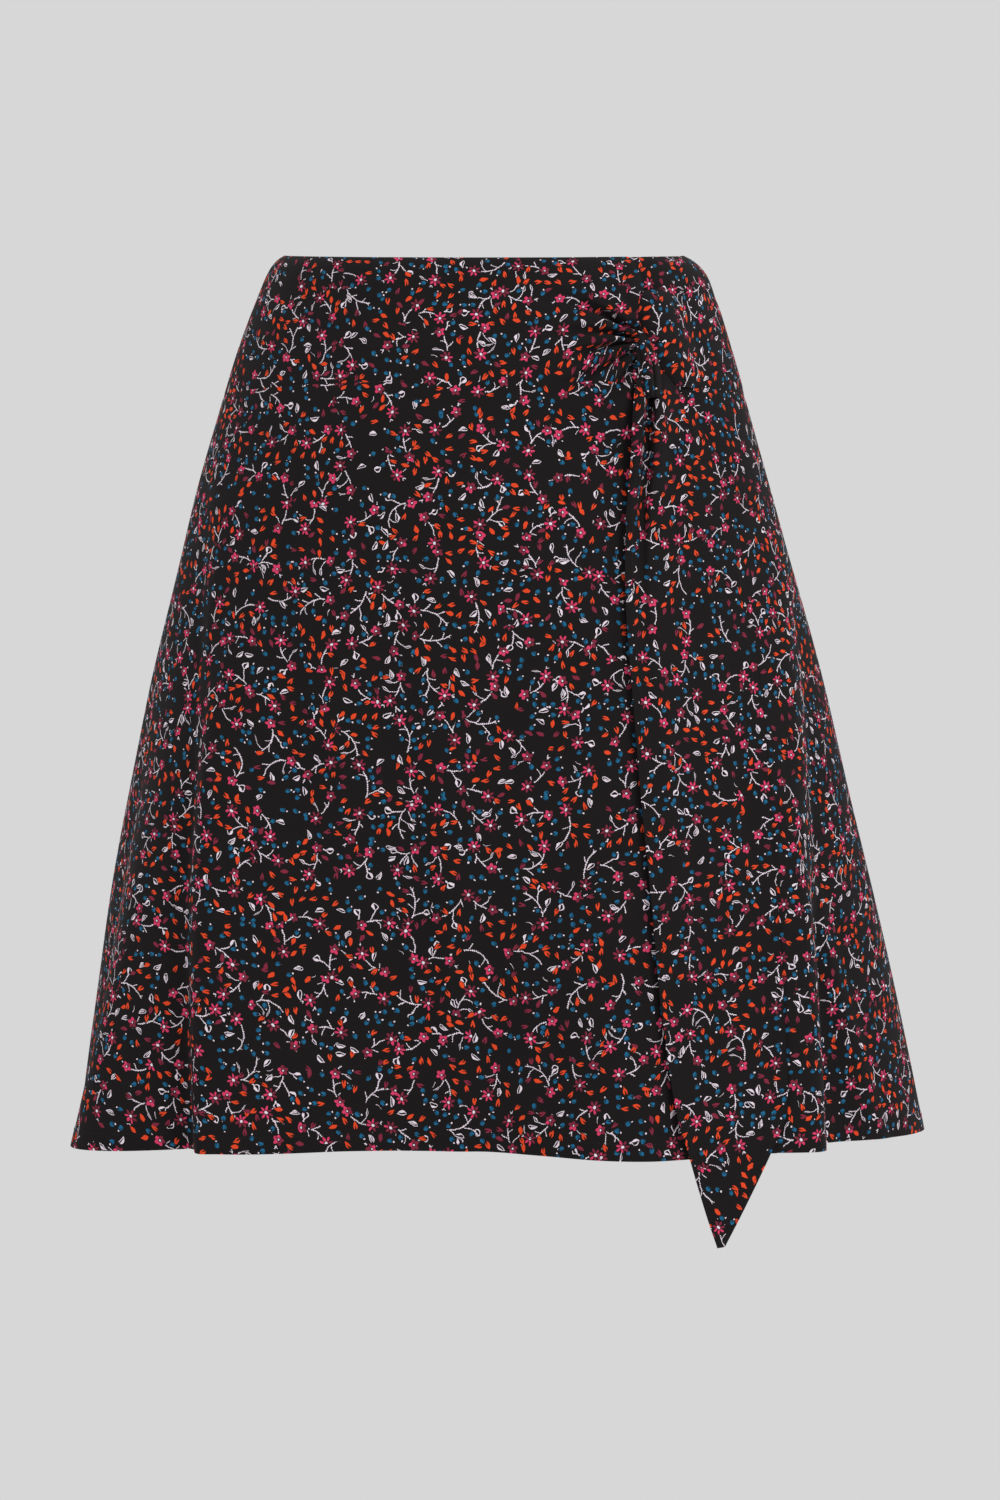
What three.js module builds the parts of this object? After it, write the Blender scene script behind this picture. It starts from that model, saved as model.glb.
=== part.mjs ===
// Wrap skirt, hollow as worn, in millimetres.
// +Z is up, the front faces -Y, and the origin is the centre of the waist at the level of its rim.
//
// The cloth is one form: a stack of oval rings, wider towards the hem, pushed outwards by soft
// vertical folds. Every panel is a thin wall between two stations round that form, and what lies on
// a panel is made from the same points, moved out.
import * as THREE from 'three';

// ---- Driving dimensions ----------------------------------------------------------------------

const CLOTH = 1.5; // thickness of a wall of cloth
const SEAM = 0.3; // space between neighbouring pieces
const LAYER = CLOTH + SEAM; // one cloth lying on another
const YOKE_DEPTH = 88; // from the waist level down to the seam under the yoke
const HEM = 540; // from the waist level down to the hem
const RIM_DIP = 12.5; // how far the rim dips at the centre front
const LEFT_SEAM = -90; // stations, in degrees round the form from the centre front
const RIGHT_SEAM = 90;
const BACK_SEAM = 270; // the left side seam again, reached round the back
const OVER_EDGE = 33; // free edge of the wrap, down the front
const OVER_YOKE_EDGE = 42; // free edge of the yoke on the wrap
const UNDER_EDGE = -30; // hidden free edge of the cloth under the wrap

// Stations of the walls' facets, closest where the folds cross them.
const SPANS = [
  { from: LEFT_SEAM, to: UNDER_EDGE, step: 10 / 3 },
  { from: UNDER_EDGE, to: OVER_EDGE, step: 4.5 },
  { from: OVER_EDGE, to: 78, step: 2.25 },
  { from: 78, to: RIGHT_SEAM, step: 4 },
  { from: RIGHT_SEAM, to: BACK_SEAM, step: 9 },
];

// Rings of the form: depth below the waist, half width, sideways shift, front and back half depth.
const RINGS = [
  { depth: 0, half: 128, shift: 1, front: 94, back: 92 },
  { depth: 7, half: 134, shift: 0.5, front: 99, back: 96 },
  { depth: 18, half: 138.5, shift: 0.5, front: 103, back: 99 },
  { depth: 58, half: 152, shift: -1, front: 112, back: 108 },
  { depth: 100, half: 164.5, shift: -1, front: 119, back: 117 },
  { depth: 160, half: 181, shift: -1, front: 127, back: 127 },
  { depth: 275, half: 210, shift: 1, front: 138, back: 139 },
  { depth: 400, half: 236.5, shift: 4, front: 147, back: 147 },
  { depth: 540, half: 261, shift: 10, front: 151, back: 152 },
  { depth: 640, half: 276, shift: 15, front: 153, back: 156 },
];

// Folds: side (1 front, -1 back), place across the skirt where it starts and at the hem, depth at
// which it starts, how far it stands out at the hem, its reach clockwise and anticlockwise seen
// from below, how far its crest leans over, and how far it drops the hem.
const FOLDS = [
  { name: 'left_corner', side: 1, start: -172, end: -211, depth: 230, out: 41, before: 52, after: 86, lean: 0, sag: 3 },
  { name: 'left_step', side: 1, start: -160, end: -146, depth: 95, out: 30, before: 24, after: 92, lean: -5, sag: 2 },
  { name: 'right_front', side: 1, start: 80, end: 88, depth: 120, out: 38, before: 96, after: 70, lean: 0, sag: 3 },
  { name: 'right_edge', side: 1, start: 175, end: 171, depth: 160, out: 44, before: 78, after: 33, lean: 4, sag: 0 },
  { name: 'back_right', side: -1, start: 120, end: 165, depth: 150, out: 34, before: 75, after: 60, lean: 0, sag: 2 },
  { name: 'back_middle', side: -1, start: 12, end: 25, depth: 190, out: 24, before: 55, after: 80, lean: 0, sag: 1 },
  { name: 'back_left', side: -1, start: -110, end: -140, depth: 130, out: 32, before: 60, after: 70, lean: 0, sag: 2 },
];

// The knot: its centre across and down the yoke, and its loop: how high its ends and middle stand
// off the form, its width at the ends and at the middle, and its thickness.
const KNOT = { across: 92, depth: 67, height: 62, foot: 8.5, rise: 6.8, width: 15, belly: 19, wall: 2 };

// Gathers that run into the knot from the left: slope up to the left in degrees, length, height.
const GATHERS = [
  { slope: 36, length: 70, height: 3.4 },
  { slope: 12, length: 96, height: 3.0 },
  { slope: -9, length: 84, height: 3.6 },
  { slope: -33, length: 66, height: 3.0 },
];
const GATHER_WIDTH = 11; // angle, in degrees, from a gather's ridge to its valley
const GATHER_RISE = 9; // how far the cloth stands up where it enters the knot

// The tail of the tie: depth below the waist, its left and right edges, its lift off the skirt, and
// the height of the pleat that opens out below the knot.
const TAIL = [
  { depth: 90, left: 86, right: 99, lift: 7, pleat: 0 },
  { depth: 101, left: 86.5, right: 104, lift: 7, pleat: 0.5 },
  { depth: 112, left: 86.5, right: 124, lift: 6, pleat: 5 },
  { depth: 130, left: 85.5, right: 142, lift: 5, pleat: 6 },
  { depth: 160, left: 81.5, right: 147, lift: 5, pleat: 5 },
  { depth: 218, left: 80, right: 155, lift: 5, pleat: 1.5 },
  { depth: 277, left: 84, right: 162, lift: 5, pleat: 0 },
  { depth: 335, left: 88.5, right: 166, lift: 5, pleat: 0 },
  { depth: 393, left: 94, right: 169.5, lift: 5, pleat: 0 },
  { depth: 450, left: 99, right: 172, lift: 5, pleat: 0 },
  { depth: 506, left: 106.5, right: 173, lift: 5, pleat: 0 },
  { depth: 528, left: 112, right: 168, lift: 5, pleat: 0 },
  { depth: 550, left: 118, right: 156, lift: 5, pleat: 0 },
  { depth: 572, left: 125, right: 144, lift: 5, pleat: 0 },
  { depth: 590, left: 131.5, right: 135, lift: 5, pleat: 0 },
];
const PLEAT_WIDTH = 13; // from the tail's left edge to the pleat's ridge

// The band that comes round from the right side seam: station, top edge, bottom edge, lift, and how
// much more its middle stands up as it gathers towards the knot.
const BAND = [
  { station: 90, top: 30, bottom: 82, lift: 2.3, belly: 0 },
  { station: 81, top: 29, bottom: 83, lift: 2.3, belly: 0 },
  { station: 72, top: 28, bottom: 84, lift: 2.3, belly: 0 },
  { station: 63, top: 28, bottom: 86, lift: 2.5, belly: 0 },
  { station: 55, top: 29, bottom: 90, lift: 3.4, belly: 0.5 },
  { station: 49, top: 32, bottom: 91, lift: 5.4, belly: 1 },
  { station: 44.5, top: 36, bottom: 90, lift: 8, belly: 2 },
  { station: 40, top: 43, bottom: 87, lift: 9, belly: 1.5 },
];

// ---- The form --------------------------------------------------------------------------------

const radians = THREE.MathUtils.degToRad;

// A smooth value between the rows of a table, read by the column that `key` names.
function between(table, key, at, column) {
  let i = 1;
  while (i < table.length - 2 && table[i + 1][key] < at) i += 1;
  if (at < table[1][key]) i = 0;
  const points = [i - 1, i, i + 1, i + 2].map((n) => table[THREE.MathUtils.clamp(n, 0, table.length - 1)]);
  const [before, from, to, after] = points;
  const span = to[key] - from[key];
  const q = (at - from[key]) / span;
  const slopeFrom = before === from ? (to[column] - from[column]) / span
    : (to[column] - before[column]) / (to[key] - before[key]);
  const slopeTo = after === to ? (to[column] - from[column]) / span
    : (after[column] - from[column]) / (after[key] - from[key]);
  const q2 = q * q;
  const q3 = q2 * q;
  return (2 * q3 - 3 * q2 + 1) * from[column] + (q3 - 2 * q2 + q) * span * slopeFrom
    + (3 * q2 - 2 * q3) * to[column] + (q3 - q2) * span * slopeTo;
}

function ringAt(depth) {
  const read = (column) => between(RINGS, 'depth', depth, column);
  return { half: read('half'), shift: read('shift'), front: read('front'), back: read('back') };
}

// Speed along a ring, in millimetres for each radian of station.
function speed(ring, angle) {
  const deep = Math.cos(angle) > 0 ? ring.front : ring.back;
  return Math.hypot(ring.half * Math.cos(angle), deep * Math.sin(angle));
}

// The station, in radians, where a ring passes a place across the skirt.
function stationOf(ring, across, side) {
  const sine = THREE.MathUtils.clamp((across - ring.shift) / ring.half, -0.999, 0.999);
  return side > 0 ? Math.asin(sine) : Math.PI - Math.asin(sine);
}

// A hump that is 1 at its middle and fades to 0 at a reach that may differ on each side.
function hump(distance, before, after) {
  const q = distance / (distance < 0 ? before : after);
  return Math.abs(q) < 1 ? (1 - q * q) ** 2 : 0;
}

function wrapAngle(angle) {
  return angle - 2 * Math.PI * Math.round(angle / (2 * Math.PI));
}

// How the folds move a point: outwards, along the ring, and down.
function foldsAt(ring, angle, depth) {
  const moved = { out: 0, along: 0, down: 0 };
  for (const fold of FOLDS) {
    const grown = (depth - fold.depth) / (HEM - fold.depth);
    if (grown <= 0) continue;
    const middle = stationOf(ring, THREE.MathUtils.lerp(fold.start, fold.end, grown), fold.side);
    const turn = wrapAngle(angle - middle);
    const distance = turn * (speed(ring, angle) + speed(ring, middle)) / 2;
    const amount = grown ** 1.4 * hump(distance, fold.before, fold.after);
    moved.out += fold.out * amount;
    moved.along += fold.lean * amount;
    moved.down += fold.sag * amount;
  }
  return moved;
}

// The gathers' height at a place on the front yoke, measured from the knot.
function gatherAt(across, depth) {
  const left = KNOT.across - across;
  const up = KNOT.depth - depth;
  if (left < 0) return GATHER_RISE * hump(-left, 1, 12) * hump(up, 40, 40);
  const reach = Math.hypot(left, up);
  const slope = THREE.MathUtils.radToDeg(Math.atan2(up, left + 6));
  let height = GATHER_RISE * hump(reach, 1, 62);
  for (const gather of GATHERS) {
    const ridge = hump(slope - gather.slope, GATHER_WIDTH, GATHER_WIDTH);
    const along = reach / gather.length;
    height += gather.height * ridge * (along < 1 ? (1 - along) * Math.min(1, reach / 12) : 0);
  }
  return height;
}

// A point of the cloth: station round the form in degrees, depth below the waist, distance outwards.
function clothPoint(station, depth, lift = 0) {
  const ring = ringAt(depth);
  const angle = radians(station);
  const sine = Math.sin(angle);
  const cosine = Math.cos(angle);
  const deep = cosine > 0 ? ring.front : ring.back;
  const out = new THREE.Vector2(sine / ring.half, -cosine / deep).normalize();
  const along = new THREE.Vector2(-out.y, out.x);
  const folds = foldsAt(ring, angle, depth);
  const far = folds.out + lift;
  const rim = RIM_DIP * Math.max(0, cosine) * Math.max(0, 1 - depth / YOKE_DEPTH);
  return new THREE.Vector3(
    ring.shift + ring.half * sine + out.x * far + along.x * folds.along,
    -deep * cosine + out.y * far + along.y * folds.along,
    -(depth + rim + folds.down),
  );
}

// The same point, found by its place across the front instead of its station: a first guess on the
// bare ring is moved until the folded cloth passes that place.
function frontPoint(across, depth, lift) {
  const ring = ringAt(depth);
  let guess = across;
  for (let i = 0; i < 8; i += 1) {
    const point = clothPoint(THREE.MathUtils.radToDeg(stationOf(ring, guess, 1)), depth, lift);
    guess += 0.8 * (across - point.x);
  }
  return clothPoint(THREE.MathUtils.radToDeg(stationOf(ring, guess, 1)), depth, lift);
}

// ---- Walls -----------------------------------------------------------------------------------

// A closed wall from a grid of points of its outer face and the matching grid of its inner face.
function wall(outer, inner) {
  const rows = outer.length;
  const columns = outer[0].length;
  const positions = [...outer.flat(), ...inner.flat()].flatMap((p) => [p.x, p.y, p.z]);
  const faces = [];
  const at = (row, column, side) => side * rows * columns + row * columns + column;
  const quad = (a, b, c, d) => faces.push(a, b, c, a, c, d);
  for (let r = 0; r < rows - 1; r += 1) {
    for (let c = 0; c < columns - 1; c += 1) {
      quad(at(r, c, 0), at(r + 1, c, 0), at(r + 1, c + 1, 0), at(r, c + 1, 0));
      quad(at(r, c, 1), at(r, c + 1, 1), at(r + 1, c + 1, 1), at(r + 1, c, 1));
    }
  }
  for (let r = 0; r < rows - 1; r += 1) {
    quad(at(r, 0, 0), at(r, 0, 1), at(r + 1, 0, 1), at(r + 1, 0, 0));
    quad(at(r, columns - 1, 0), at(r + 1, columns - 1, 0), at(r + 1, columns - 1, 1), at(r, columns - 1, 1));
  }
  for (let c = 0; c < columns - 1; c += 1) {
    quad(at(0, c, 0), at(0, c + 1, 0), at(0, c + 1, 1), at(0, c, 1));
    quad(at(rows - 1, c, 0), at(rows - 1, c, 1), at(rows - 1, c + 1, 1), at(rows - 1, c + 1, 0));
  }
  const geometry = new THREE.BufferGeometry();
  geometry.setAttribute('position', new THREE.Float32BufferAttribute(positions, 3));
  geometry.setIndex(faces);
  geometry.computeVertexNormals();
  return geometry;
}

// The facets' stations from one seam or edge to another.
function stationsFrom(first, last) {
  const stations = SPANS.flatMap(({ from, to, step }) => (
    Array.from({ length: Math.round((to - from) / step) }, (_, i) => from + i * step)
  ));
  return [first, ...stations.filter((s) => s > first + 0.1 && s < last - 0.1), last];
}

// Depths from one level to another in even steps.
function depthsFrom(first, last, steps) {
  return Array.from({ length: steps + 1 }, (_, i) => THREE.MathUtils.lerp(first, last, i / steps));
}

// A panel of the form: `liftAt` gives how far its middle surface lies outside the form, and its side
// edges stand half a seam back from their stations.
function panel(first, last, depths, liftAt) {
  const grid = (face) => depths.map((depth) => stationsFrom(first, last).map((station) => {
    const ring = ringAt(depth);
    const setBack = THREE.MathUtils.radToDeg(SEAM / 2 / speed(ring, radians(station)));
    let place = station;
    if (station === first) place += setBack;
    if (station === last) place -= setBack;
    return clothPoint(place, depth, liftAt(place, depth) + face * CLOTH / 2);
  }));
  return wall(grid(1), grid(-1));
}

const YOKE_ROWS = [0, 7, 18, 34, 50, 66, YOKE_DEPTH - SEAM / 2];
const PANEL_ROWS = depthsFrom(YOKE_DEPTH + SEAM / 2, HEM, 13);

// The cloth under the wrap sinks one layer inside the form before it passes the wrap's edge.
function underLift(edge) {
  return (station) => -LAYER * (1 - THREE.MathUtils.smoothstep(station, edge + 1, edge + 10));
}

function yokeGather(station, depth) {
  const point = clothPoint(station, depth);
  return gatherAt(point.x, depth);
}

// ---- The tie ---------------------------------------------------------------------------------

// A strip that lies on the front: a row of a table for each section, `columns` points across it.
function strip(table, columns, pointAt) {
  const grid = (face) => table.map((row) => Array.from({ length: columns + 1 }, (_, i) => (
    pointAt(row, i / columns, face * CLOTH / 2)
  )));
  return wall(grid(1), grid(-1));
}

function tailPoint(row, q, face) {
  const across = THREE.MathUtils.lerp(row.left, row.right, q);
  const ridge = hump(across - row.left - PLEAT_WIDTH, PLEAT_WIDTH, PLEAT_WIDTH);
  return frontPoint(across, row.depth, row.lift + row.pleat * ridge + face);
}

function bandPoint(row, q, face) {
  const depth = THREE.MathUtils.lerp(row.top, row.bottom, q);
  return clothPoint(row.station, depth, row.lift + row.belly * Math.sin(Math.PI * q) + face);
}

// The knot: a loop of cloth that arches over the gathered ends from above to below.
function knotGeometry() {
  const turns = 12;
  const columns = 4;
  const grid = (face) => Array.from({ length: turns + 1 }, (_, i) => {
    const angle = Math.PI * i / turns;
    const arch = Math.sin(angle);
    const half = THREE.MathUtils.lerp(KNOT.width, KNOT.belly, arch) / 2;
    const height = KNOT.height / 2 + face * KNOT.wall / 2;
    const rise = KNOT.foot + KNOT.rise * arch + face * KNOT.wall / 2 * arch;
    return Array.from({ length: columns + 1 }, (_, n) => {
      const q = 2 * n / columns - 1;
      const depth = KNOT.depth - height * Math.cos(angle);
      return frontPoint(KNOT.across + q * half, depth, rise - 2.5 * q * q * arch);
    });
  });
  return wall(grid(1), grid(-1));
}

// ---- The skirt -------------------------------------------------------------------------------

const VISCOSE = { color: 0x231f20, roughness: 0.85, metalness: 0, side: THREE.DoubleSide };

function piece(name, geometry) {
  const mesh = new THREE.Mesh(geometry, new THREE.MeshStandardMaterial(VISCOSE));
  mesh.name = name;
  return mesh;
}

const onForm = () => 0;
const skirt = new THREE.Group();
skirt.name = 'wrap_skirt';
skirt.add(
  piece('back_panel', panel(RIGHT_SEAM, BACK_SEAM, PANEL_ROWS, onForm)),
  piece('front_under_panel', panel(UNDER_EDGE, RIGHT_SEAM, PANEL_ROWS, underLift(OVER_EDGE))),
  piece('front_over_panel', panel(LEFT_SEAM, OVER_EDGE, PANEL_ROWS, onForm)),
  piece('back_yoke', panel(RIGHT_SEAM, BACK_SEAM, YOKE_ROWS, onForm)),
  piece('front_under_yoke', panel(UNDER_EDGE, RIGHT_SEAM, YOKE_ROWS, underLift(OVER_YOKE_EDGE))),
  piece('front_over_yoke', panel(LEFT_SEAM, OVER_YOKE_EDGE, YOKE_ROWS, yokeGather)),
  piece('tie_band', strip(BAND, 8, bandPoint)),
  piece('tie_knot', knotGeometry()),
  piece('tie_tail', strip(TAIL, 8, tailPoint)),
);

export default skirt;
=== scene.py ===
# %% [markdown]
# # A wrap skirt, cell by cell
# The skirt is a hollow shell of thin printed cloth: a deep yoke round the waist, flared panels with
# soft vertical folds, and a tie that is gathered into a knot and hangs down in one wide tail.
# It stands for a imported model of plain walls. Here each wall is made again as fine cloth, from the
# same folds and rings, but for a rim that is up to 2.5 mm smaller and rounder. The gathers and the
# tie have their own tables: the tail lies up to 5 mm to the right of its wall, and starts higher up,
# inside the loop of the knot.

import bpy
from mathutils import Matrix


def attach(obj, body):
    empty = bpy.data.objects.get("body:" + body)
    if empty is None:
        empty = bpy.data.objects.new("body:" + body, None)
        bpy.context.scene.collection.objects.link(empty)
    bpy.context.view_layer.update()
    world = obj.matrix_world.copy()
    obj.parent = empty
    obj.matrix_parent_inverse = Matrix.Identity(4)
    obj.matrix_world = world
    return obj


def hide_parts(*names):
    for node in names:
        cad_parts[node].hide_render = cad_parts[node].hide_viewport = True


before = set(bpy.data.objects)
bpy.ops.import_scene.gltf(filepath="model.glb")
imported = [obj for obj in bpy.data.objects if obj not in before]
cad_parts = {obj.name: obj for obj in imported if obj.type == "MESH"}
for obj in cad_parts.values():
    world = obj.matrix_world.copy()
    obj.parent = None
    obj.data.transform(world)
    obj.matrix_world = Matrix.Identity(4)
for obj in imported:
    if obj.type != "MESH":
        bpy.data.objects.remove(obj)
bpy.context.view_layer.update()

import ast
import math
import textwrap

import bpy
import numpy as np

MM = 0.001
print("walls:", sorted(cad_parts))

# %% [markdown]
# ## The form
# Cloth that hangs from a waist has one simple rule: it is a stack of ovals that get wider on the way
# down. A table of ovals and a smooth curve through its rows give the bare form. The folds are a
# second table: each one is a soft hump that starts somewhere below the waist, grows towards the hem
# and pushes the cloth outwards. Working from two small tables, rather than from sculpted points,
# keeps every layer of the skirt parallel to the next one.

# %% Sizes of the form, in metres
HEM = 540 * MM  # from the waist level to the hem
YOKE_DEPTH = 88 * MM  # from the waist level to the seam under the yoke
RIM_DIP = 12.5 * MM  # the rim dips at the centre front
RIM_ROLL = 5.5 * MM  # how far the rim rolls inwards at the right hip
RIM_ROLL_REACH = 40  # degrees each way from the right seam
RIM_ROLL_TOP, RIM_ROLL_END = -4 * MM, 12 * MM  # depths between which the roll fades
LAYER = 1.8 * MM  # one cloth lying on another
LEFT_SEAM, RIGHT_SEAM, BACK_SEAM = -90.0, 90.0, 270.0  # stations round the form, in degrees
OVER_EDGE = 33.0  # free edge of the wrap
OVER_YOKE_EDGE = 42.0  # free edge of the yoke on the wrap
UNDER_EDGE = -30.0  # hidden free edge of the cloth under the wrap

# depth below the waist, half width, sideways shift, front half depth, back half depth
RINGS = MM * np.array([
    (0, 125.5, 1, 92, 90),
    (2, 128.8, 1, 94.5, 92.3),
    (4.5, 131.3, 0.8, 96.6, 94),
    (8.5, 134, 0.5, 99, 96.3),
    (18, 138.5, 0.5, 103, 99),
    (58, 152, -1, 112, 108),
    (100, 164.5, -1, 119, 117),
    (160, 181, -1, 127, 127),
    (275, 210, 1, 138, 139),
    (400, 236.5, 4, 147, 147),
    (540, 261, 10, 151, 152),
    (640, 276, 15, 153, 156),
])

# side (1 front, -1 back), place across at its start and at the hem, depth of its start, how far it
# stands out at the hem, its reach on each side, how far it leans over, how far it drops the hem
FOLDS = [
    (1, -172, -211, 230, 41, 52, 86, 0, 3),
    (1, -160, -146, 95, 30, 24, 92, -5, 2),
    (1, 80, 88, 120, 38, 96, 70, 0, 3),
    (1, 175, 171, 160, 44, 78, 33, 4, 0),
    (-1, 120, 165, 150, 34, 75, 60, 0, 2),
    (-1, 12, 25, 190, 24, 55, 80, 0, 1),
    (-1, -110, -140, 130, 32, 60, 70, 0, 2),
]
print("rings:", len(RINGS), "folds:", len(FOLDS))


# %% Helpers for smooth curves and soft humps
def between(table, at):
    """Every column of a table at some values of its first column: a smooth curve through the rows."""
    key = table[:, 0]
    at = np.asarray(at, float)
    slope = np.gradient(table, axis=0) / np.gradient(key)[:, None]
    i = np.clip(np.searchsorted(key, at) - 1, 0, len(table) - 2)
    span = (key[i + 1] - key[i])[..., None]
    q = (at - key[i])[..., None] / span
    return (
        (2 * q**3 - 3 * q**2 + 1) * table[i]
        + (q**3 - 2 * q**2 + q) * span * slope[i]
        + (3 * q**2 - 2 * q**3) * table[i + 1]
        + (q**3 - q**2) * span * slope[i + 1]
    )


def hump(distance, before, after):
    """1 at its middle, fading softly to 0 at a reach that may differ on each side."""
    q = distance / np.where(distance < 0, before, after)
    return np.clip(1 - q * q, 0, 1) ** 2


def smooth_step(value, low, high):
    q = np.clip((value - low) / (high - low), 0, 1)
    return q * q * (3 - 2 * q)


# %% [markdown]
# ## Creases
# Folds are large. Between them real cloth has shallow creases, never two alike. They are listed one by
# one in a third table, as troughs (a minus height) and ridges, with a few on the hidden sides too.

# %% Creases, listed one by one
# side, place across at the top and at the bottom, top depth, bottom depth, height, half width (mm)
CREASES = [
    (1, -122, -104, 120, 430, -2.2, 15),
    (1, -92, -66, 210, 545, 2.4, 20),
    (1, -58, -38, 170, 500, -2.6, 22),
    (1, -24, -14, 260, 545, 2.2, 20),
    (1, 10, 14, 130, 400, -1.8, 18),
    (1, 38, 40, 230, 545, -2.4, 19),
    (1, 62, 62, 120, 330, 1.8, 14),
    (1, -146, -176, 150, 420, -1.6, 12),
    (1, 150, 150, 250, 500, -2.6, 14),
    (1, 160, 214, 230, 545, -2.2, 16),
    (1, 168, 238, 300, 545, 1.8, 14),
    (-1, 150, 226, 230, 545, -2.2, 18),
    (-1, 84, 108, 170, 480, -2.8, 24),
    (-1, 50, 66, 240, 545, 2.2, 18),
    (-1, -18, -26, 120, 390, -2.4, 22),
    (-1, -62, -84, 200, 545, -2.8, 26),
    (-1, -120, -198, 230, 545, 2.0, 18),
]
RIPPLES = [  # waves round the form, their phase, waves down it, their phase, height (mm)
    (9, 0.4, 5, 1.1, 0.35),
    (17, 2.0, 9, 0.3, 0.22),
    (29, 4.1, 6, 2.2, 0.14),
]
FOLD_GROWTH = 1.4  # above 1, so a fold starts slowly and deepens towards the hem
SMOOTH_YOKE = 120 * MM  # the ripples reach their full height this far down
print("creases:", len(CREASES))


# %% The cloth: station round the form, depth below the waist, distance outwards
def speed(ring, angle):
    """Metres along a ring for each radian of station."""
    deep = np.where(np.cos(angle) > 0, ring[..., 3], ring[..., 4])
    return np.hypot(ring[..., 1] * np.cos(angle), deep * np.sin(angle))


def station_of(ring, across, side):
    """The station, in radians, where a ring passes a place across the skirt."""
    sine = np.arcsin(np.clip((across - ring[..., 2]) / ring[..., 1], -0.999, 0.999))
    return sine if side > 0 else math.pi - sine


def distance_from(ring, angle, across, side):
    """How far along the ring a point lies from a place across the skirt."""
    middle = station_of(ring, across, side)
    turn = angle - middle
    turn = turn - 2 * math.pi * np.round(turn / (2 * math.pi))
    return turn * (speed(ring, angle) + speed(ring, middle)) / 2


def relief(ring, angle, depth):
    """What folds, creases and ripples do to the cloth: outwards, along the ring, and down."""
    out, along, down = 0.0, 0.0, 0.0
    for side, start, end, top, height, before, after, lean, sag in FOLDS:
        grown = np.clip((depth - top * MM) / (HEM - top * MM), 0, None)
        across = (start + (end - start) * grown) * MM
        distance = distance_from(ring, angle, across, side)
        amount = grown**FOLD_GROWTH * hump(distance, before * MM, after * MM)
        out = out + height * MM * amount
        along = along + lean * MM * amount
        down = down + sag * MM * amount
    for side, start, end, top, bottom, height, width in CREASES:
        q = (depth - top * MM) / ((bottom - top) * MM)
        across = (start + (end - start) * q) * MM
        fade = smooth_step(q, 0, 0.35) * (1 - smooth_step(q, 0.8, 1.05) * (bottom < HEM / MM))
        distance = distance_from(ring, angle, across, side)
        out = out + height * MM * fade * hump(distance, width * MM, width * MM)
    for waves, phase, rows, row_phase, height in RIPPLES:
        wave = np.sin(waves * angle + phase) * np.sin(rows * depth / HEM * math.pi + row_phase)
        out = out + height * MM * wave * smooth_step(depth, 0, SMOOTH_YOKE)
    return out, along, down


def cloth_point(station, depth, lift=0.0):
    """Points of the cloth, one for each station and depth."""
    station, depth = np.broadcast_arrays(np.asarray(station, float), np.asarray(depth, float))
    ring = between(RINGS, depth)
    angle = np.radians(station)
    sine, cosine = np.sin(angle), np.cos(angle)
    half, shift = ring[..., 1], ring[..., 2]
    deep = np.where(cosine > 0, ring[..., 3], ring[..., 4])
    out_x, out_y = sine / half, -cosine / deep
    size = np.hypot(out_x, out_y)
    out_x, out_y = out_x / size, out_y / size
    out, along, down = relief(ring, angle, depth)
    near_hip = hump(station - RIGHT_SEAM, RIM_ROLL_REACH, RIM_ROLL_REACH)
    rolled = near_hip * (1 - smooth_step(depth, RIM_ROLL_TOP, RIM_ROLL_END))
    far = out + lift - RIM_ROLL * rolled
    rim = RIM_DIP * np.clip(cosine, 0, None) * np.clip(1 - depth / YOKE_DEPTH, 0, None)
    return np.stack([
        shift + half * sine + out_x * far - out_y * along,
        -deep * cosine + out_y * far + out_x * along,
        -(depth + rim + down),
    ], axis=-1)


HOMING_STEPS, HOMING_SHARE = 12, 0.7  # each step covers this share of what is still missing


def station_at(across, depth, lift=0.0):
    """The station where cloth lifted off the folded front passes a place across the skirt."""
    ring = between(RINGS, depth)
    guess = np.array(across, float)
    for _ in range(HOMING_STEPS):
        reached = cloth_point(np.degrees(station_of(ring, guess, 1)), depth, lift)[..., 0]
        guess = guess + HOMING_SHARE * (across - reached)
    return np.degrees(station_of(ring, guess, 1))


hem_ring = cloth_point(np.linspace(LEFT_SEAM, BACK_SEAM, 721), HEM)
HEM_ROUND = np.linalg.norm(np.diff(hem_ring, axis=0), axis=1).sum()
print("round the hem, m:", round(HEM_ROUND, 3))

# %% [markdown]
# ## Gathers
# Where the wrap is pulled into the knot, the cloth rises and breaks into puffed ridges with narrow
# troughs between them. The troughs are what the eye reads: each runs at the knot, deep and thin near
# it, wide and shallow further off, and bends a little on the way. They are listed one by one, by their
# direction from the knot, and cut into one soft rise of the cloth. The ridges are what is left.

# %% Gathers that run into the knot
KNOT_ACROSS, KNOT_DEPTH = 91 * MM, 60 * MM
GATHER_RISE = 10 * MM
GATHER_REACH = 76 * MM
SINK_FROM, SINK_TO = -7 * MM, 6 * MM  # the ridges sink here, left of the middle of the knot
REST = 0.08  # the share of their height that is left past that
LOWEST = -0.4 * MM  # no trough cuts deeper than this into the form
TROUGH_START = 9 * MM  # a trough has its full depth this far from the knot
PAST_KNOT = 4 * MM  # directions are taken from this far past the knot, so none swings round near it

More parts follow.
